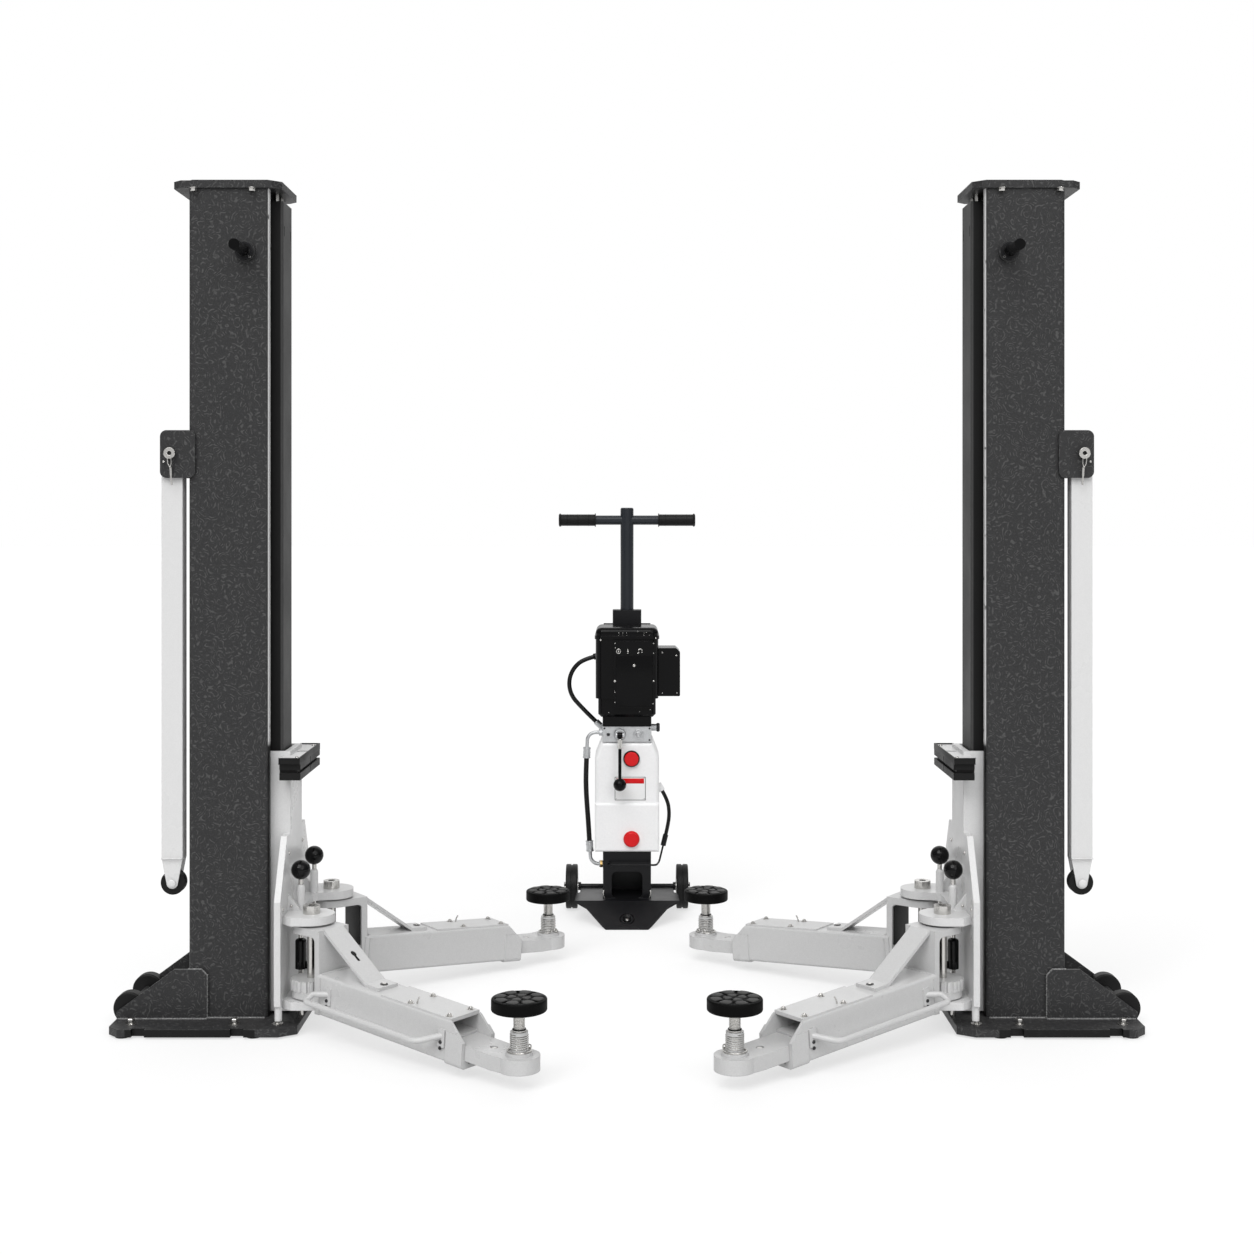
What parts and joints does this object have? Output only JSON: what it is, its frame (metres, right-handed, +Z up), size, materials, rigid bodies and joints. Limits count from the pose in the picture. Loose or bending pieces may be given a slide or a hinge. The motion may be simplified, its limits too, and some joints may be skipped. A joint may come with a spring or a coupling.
{
  "type": "two post car lift",
  "caption": "Portable two post car lift: short columns with lifting carriages, swing arms with round pads, and a hydraulic power unit on a hand trolley.",
  "frame": {"origin": "middle of the whole set's footprint, on the floor", "axes": "+X from the left post to the right one, +Y from the posts towards the power unit's trolley, +Z up"},
  "size_m": [2.552, 1.8942, 2.1],
  "materials": {
    "black_plastic": "glossy black moulding",
    "black_rubber": "moulded rubber",
    "bright_steel": "bright plated steel",
    "cast_aluminium": "machined",
    "charcoal_steel": "wrinkle powder coat, satin",
    "red_cap": "moulded red plastic",
    "silver_steel": "light grey paint, satin",
    "white_tank": "moulded white plastic"
  },
  "bodies": {
    "frame": {"left_base": "charcoal_steel", "left_column": "charcoal_steel", "left_cap_plate": "charcoal_steel", "left_cover": "charcoal_steel", "left_cylinder": "bright_steel", "left_leg_bracket": "charcoal_steel", "right_base": "charcoal_steel", "right_column": "charcoal_steel", "right_cap_plate": "charcoal_steel", "right_cover": "charcoal_steel", "right_cylinder": "bright_steel", "right_leg_bracket": "charcoal_steel", "trolley_frame": "charcoal_steel", "handle": "charcoal_steel", "handle_grips": "black_rubber", "motor": "black_plastic", "terminal_box": "black_plastic", "valve_block": "cast_aluminium", "tank": "white_tank", "tank_caps": "red_cap", "pressure_hose": "black_rubber", "motor_conduit": "black_rubber", "return_hose": "black_rubber"},
    "left_carriage": {"left_carriage": "silver_steel", "left_door_guard": "black_rubber", "left_arm_pins": "bright_steel"},
    "left_front_arm": {"left_front_arm": "silver_steel"},
    "left_front_extension": {"left_front_extension": "silver_steel"},
    "left_front_pad": {"left_front_pad_screw": "bright_steel", "left_front_pad": "black_rubber"},
    "left_front_lock": {"left_front_lock": "black_plastic"},
    "left_rear_arm": {"left_rear_arm": "silver_steel"},
    "left_rear_extension": {"left_rear_extension": "silver_steel"},
    "left_rear_pad": {"left_rear_pad_screw": "bright_steel", "left_rear_pad": "black_rubber"},
    "left_rear_lock": {"left_rear_lock": "black_plastic"},
    "left_safety_knob": {"left_safety_knob": "black_plastic"},
    "left_leg": {"left_leg": "silver_steel"},
    "left_leg_wheel": {"left_leg_wheel": "black_rubber"},
    "left_base_rollers": {"left_base_rollers": "black_rubber"},
    "right_carriage": {"right_carriage": "silver_steel", "right_door_guard": "black_rubber", "right_arm_pins": "bright_steel"},
    "right_front_arm": {"right_front_arm": "silver_steel"},
    "right_front_extension": {"right_front_extension": "silver_steel"},
    "right_front_pad": {"right_front_pad_screw": "bright_steel", "right_front_pad": "black_rubber"},
    "right_front_lock": {"right_front_lock": "black_plastic"},
    "right_rear_arm": {"right_rear_arm": "silver_steel"},
    "right_rear_extension": {"right_rear_extension": "silver_steel"},
    "right_rear_pad": {"right_rear_pad_screw": "bright_steel", "right_rear_pad": "black_rubber"},
    "right_rear_lock": {"right_rear_lock": "black_plastic"},
    "right_safety_knob": {"right_safety_knob": "black_plastic"},
    "right_leg": {"right_leg": "silver_steel"},
    "right_leg_wheel": {"right_leg_wheel": "black_rubber"},
    "right_base_rollers": {"right_base_rollers": "black_rubber"},
    "control_lever": {"control_lever": "black_plastic"},
    "trolley_wheel_left": {"trolley_wheel_left": "black_rubber"},
    "trolley_wheel_right": {"trolley_wheel_right": "black_rubber"}
  },
  "joints": [
    {"name": "left_lift", "type": "slide", "parent": "frame", "child": "left_carriage", "axis": [0, 0, 1], "range_m": [0, 1.25]},
    {"name": "left_front_swing", "type": "hinge", "parent": "left_carriage", "child": "left_front_arm", "pos_m": [-0.775, -0.46592, 0.107], "axis": [0, 0, -1], "range_deg": [-38, 52]},
    {"name": "left_front_reach", "type": "slide", "parent": "left_front_arm", "child": "left_front_extension", "axis": [0.7858, -0.6139, -0.075], "range_m": [0, 0.25]},
    {"name": "left_front_pad_height", "type": "slide", "parent": "left_front_extension", "child": "left_front_pad", "axis": [0, 0, 1], "range_m": [0, 0.06]},
    {"name": "left_front_lock_lift", "type": "slide", "parent": "left_carriage", "child": "left_front_lock", "axis": [0, 0, 1], "range_m": [0, 0.015], "stiffness_N_per_m": 400, "springref_m": -0.01},
    {"name": "left_rear_swing", "type": "hinge", "parent": "left_carriage", "child": "left_rear_arm", "pos_m": [-0.775, -0.17592, 0.107], "axis": [0, 0, 1], "range_deg": [-36, 54]},
    {"name": "left_rear_reach", "type": "slide", "parent": "left_rear_arm", "child": "left_rear_extension", "axis": [0.8067, 0.5861, -0.075], "range_m": [0, 0.25]},
    {"name": "left_rear_pad_height", "type": "slide", "parent": "left_rear_extension", "child": "left_rear_pad", "axis": [0, 0, 1], "range_m": [0, 0.06]},
    {"name": "left_rear_lock_lift", "type": "slide", "parent": "left_carriage", "child": "left_rear_lock", "axis": [0, 0, 1], "range_m": [0, 0.015], "stiffness_N_per_m": 400, "springref_m": -0.01},
    {"name": "left_safety_pull", "type": "slide", "parent": "frame", "child": "left_safety_knob", "axis": [0, -1, 0], "range_m": [0, 0.015], "stiffness_N_per_m": 500},
    {"name": "left_leg_fold", "type": "hinge", "parent": "frame", "child": "left_leg", "pos_m": [-1.128, -0.40692, 1.421], "axis": [0, 1, 0], "range_deg": [0, 50]},
    {"name": "left_leg_wheel_turn", "type": "hinge", "parent": "left_leg", "child": "left_leg_wheel", "pos_m": [-1.128, -0.40692, 0.355], "axis": [0, 1, 0], "continuous": true},
    {"name": "left_base_rollers_turn", "type": "hinge", "parent": "frame", "child": "left_base_rollers", "pos_m": [-1.236, -0.32093, 0.043], "axis": [0, 1, 0], "continuous": true},
    {"name": "right_lift", "type": "slide", "parent": "frame", "child": "right_carriage", "axis": [0, 0, 1], "range_m": [0, 1.25]},
    {"name": "right_front_swing", "type": "hinge", "parent": "right_carriage", "child": "right_front_arm", "pos_m": [0.775, -0.46592, 0.107], "axis": [0, 0, 1], "range_deg": [-38, 52]},
    {"name": "right_front_reach", "type": "slide", "parent": "right_front_arm", "child": "right_front_extension", "axis": [-0.7858, -0.6139, -0.075], "range_m": [0, 0.25]},
    {"name": "right_front_pad_height", "type": "slide", "parent": "right_front_extension", "child": "right_front_pad", "axis": [0, 0, 1], "range_m": [0, 0.06]},
    {"name": "right_front_lock_lift", "type": "slide", "parent": "right_carriage", "child": "right_front_lock", "axis": [0, 0, 1], "range_m": [0, 0.015], "stiffness_N_per_m": 400, "springref_m": -0.01},
    {"name": "right_rear_swing", "type": "hinge", "parent": "right_carriage", "child": "right_rear_arm", "pos_m": [0.775, -0.17592, 0.107], "axis": [0, 0, -1], "range_deg": [-36, 54]},
    {"name": "right_rear_reach", "type": "slide", "parent": "right_rear_arm", "child": "right_rear_extension", "axis": [-0.8067, 0.5861, -0.075], "range_m": [0, 0.25]},
    {"name": "right_rear_pad_height", "type": "slide", "parent": "right_rear_extension", "child": "right_rear_pad", "axis": [0, 0, 1], "range_m": [0, 0.06]},
    {"name": "right_rear_lock_lift", "type": "slide", "parent": "right_carriage", "child": "right_rear_lock", "axis": [0, 0, 1], "range_m": [0, 0.015], "stiffness_N_per_m": 400, "springref_m": -0.01},
    {"name": "right_safety_pull", "type": "slide", "parent": "frame", "child": "right_safety_knob", "axis": [0, -1, 0], "range_m": [0, 0.015], "stiffness_N_per_m": 500},
    {"name": "right_leg_fold", "type": "hinge", "parent": "frame", "child": "right_leg", "pos_m": [1.128, -0.40692, 1.421], "axis": [0, -1, 0], "range_deg": [0, 50]},
    {"name": "right_leg_wheel_turn", "type": "hinge", "parent": "right_leg", "child": "right_leg_wheel", "pos_m": [1.128, -0.40692, 0.355], "axis": [0, 1, 0], "continuous": true},
    {"name": "right_base_rollers_turn", "type": "hinge", "parent": "frame", "child": "right_base_rollers", "pos_m": [1.236, -0.32093, 0.043], "axis": [0, 1, 0], "continuous": true},
    {"name": "control_lever_tilt", "type": "hinge", "parent": "frame", "child": "control_lever", "pos_m": [-0.022, 0.64348, 0.586], "axis": [-1, 0, 0], "range_deg": [0, 25], "stiffness_Nm_per_rad": 2},
    {"name": "trolley_wheel_left_turn", "type": "hinge", "parent": "frame", "child": "trolley_wheel_left", "pos_m": [-0.1775, 0.87708, 0.07], "axis": [1, 0, 0], "continuous": true},
    {"name": "trolley_wheel_right_turn", "type": "hinge", "parent": "frame", "child": "trolley_wheel_right", "pos_m": [0.1775, 0.87708, 0.07], "axis": [1, 0, 0], "continuous": true}
  ]
}
